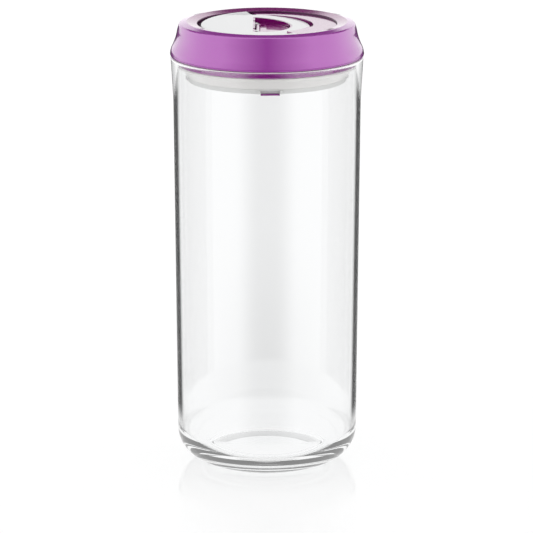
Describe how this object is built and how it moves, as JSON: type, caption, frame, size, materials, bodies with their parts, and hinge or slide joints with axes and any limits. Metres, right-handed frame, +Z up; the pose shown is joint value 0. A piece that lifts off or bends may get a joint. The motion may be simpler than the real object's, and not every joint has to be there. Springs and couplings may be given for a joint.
{
  "type": "vacuum seal canister",
  "caption": "Tall round glass storage canister with a flared glossy lid whose twist dial squeezes a gasket against the mouth and whose flap lets air in.",
  "frame": {"origin": "centre of the foot ring on the table", "axes": "+Z up along the jar, -Y the front, +X to the right seen from the front"},
  "size_m": [0.1066, 0.1066, 0.2489],
  "materials": {
    "glass": "clear polished glass",
    "purple_plastic": "high gloss moulded plastic",
    "white_plastic": "high gloss white moulded plastic",
    "natural_plastic": "natural translucent white plastic",
    "silicone": "milky translucent silicone",
    "steel": "stainless steel"
  },
  "bodies": {
    "jar": {"glass_jar": "glass"},
    "lid": {"lid_cover": "purple_plastic", "lid_base": "purple_plastic", "rim_seal": "silicone", "expanding_gasket": "silicone", "shaft_bush": "natural_plastic", "shaft_seal": "silicone", "thrust_washer": "natural_plastic", "cover_screws": "steel"},
    "dial": {"dial_base": "purple_plastic", "dial_cap": "white_plastic", "drive_shaft": "natural_plastic", "drive_pin": "steel", "retaining_clip": "steel", "flap_pin": "steel"},
    "plate": {"clamp_plate": "natural_plastic", "cam_sleeve": "natural_plastic", "sleeve_screws": "steel"},
    "flap": {"vent_flap": "purple_plastic", "vent_plug": "silicone"}
  },
  "joints": [
    {"name": "lid_lift", "type": "slide", "parent": "jar", "child": "lid", "axis": [0, 0, 1], "range_m": [0, 0.06]},
    {"name": "dial_turn", "type": "hinge", "parent": "lid", "child": "dial", "pos_m": [0, 0, 0.24], "axis": [0, 0, -1], "range_deg": [0, 90]},
    {"name": "plate_rise", "type": "slide", "parent": "lid", "child": "plate", "axis": [0, 0, 1], "range_m": [0, 0.0024], "deforming": ["expanding_gasket"]},
    {"name": "flap_tilt", "type": "hinge", "parent": "dial", "child": "flap", "pos_m": [-0.005, 0, 0.2438], "axis": [0, -1, 0], "range_deg": [0, 85]}
  ],
  "couplings": [
    {"joint": "plate_rise", "follows": "dial_turn", "m_per_rad": 0.0015278}
  ]
}
